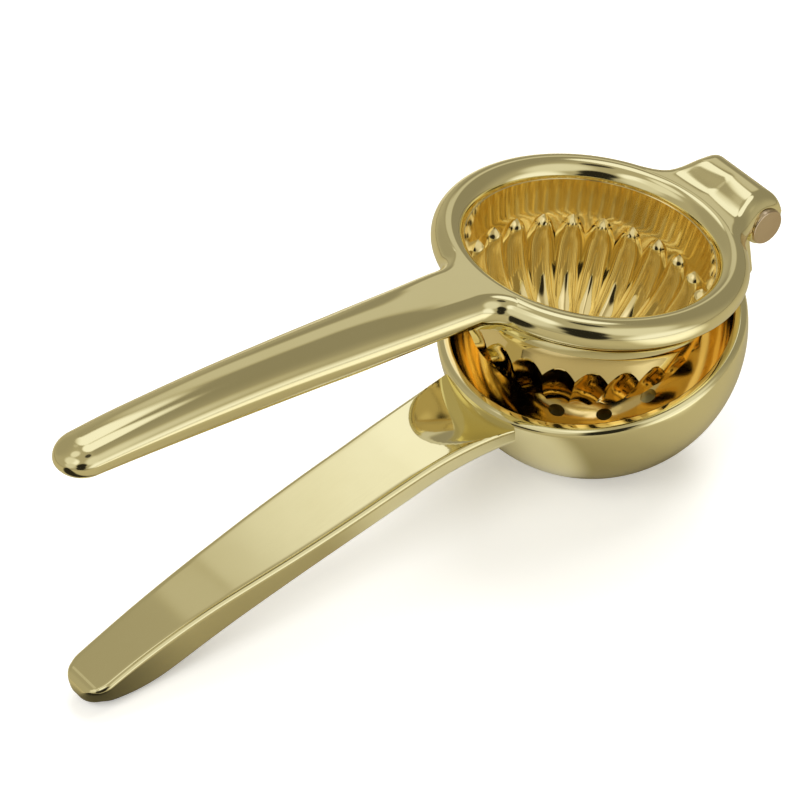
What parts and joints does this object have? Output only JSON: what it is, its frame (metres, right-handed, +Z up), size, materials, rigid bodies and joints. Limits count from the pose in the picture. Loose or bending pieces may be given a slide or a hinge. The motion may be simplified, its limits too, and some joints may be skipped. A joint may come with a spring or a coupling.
{
  "type": "hinged lemon squeezer",
  "caption": "Hinged lemon squeezer in polished pale-gold plated metal: fluted press cup in a rolled ring, strainer bowl with drain holes, slim handles and a riveted hinge pin.",
  "frame": {"origin": "centre of the small flat under the strainer bowl, on the table plane", "axes": "+X from the handle tips to the hinge, +Y across the tool along the hinge pin to its peened tail, +Z up from the table"},
  "size_m": [0.2024, 0.0752, 0.0774],
  "materials": {
    "lower_casting": "polished pale-gold plating over a metal casting",
    "upper_casting": "polished pale-gold plating over a metal casting",
    "cup_interior": "polished gold plating, a deeper gold inside the cup",
    "pin_metal": "polished coppery rivet, lightly worn",
    "washer_metal": "dull plated steel washer"
  },
  "bodies": {
    "lower_arm": {"strainer_bowl": "lower_casting", "lower_handle": "lower_casting", "hinge_lug": "lower_casting"},
    "upper_arm": {"press_ring": "upper_casting", "press_cup": "cup_interior", "upper_handle": "upper_casting", "hinge_hood": "upper_casting", "hinge_pin": "pin_metal", "head_washer": "washer_metal", "tail_washer": "washer_metal"}
  },
  "joints": [
    {"name": "press_hinge", "type": "hinge", "parent": "lower_arm", "child": "upper_arm", "pos_m": [0.04261, 0, 0.0529], "axis": [0, 1, 0], "range_deg": [-17, 60]}
  ]
}
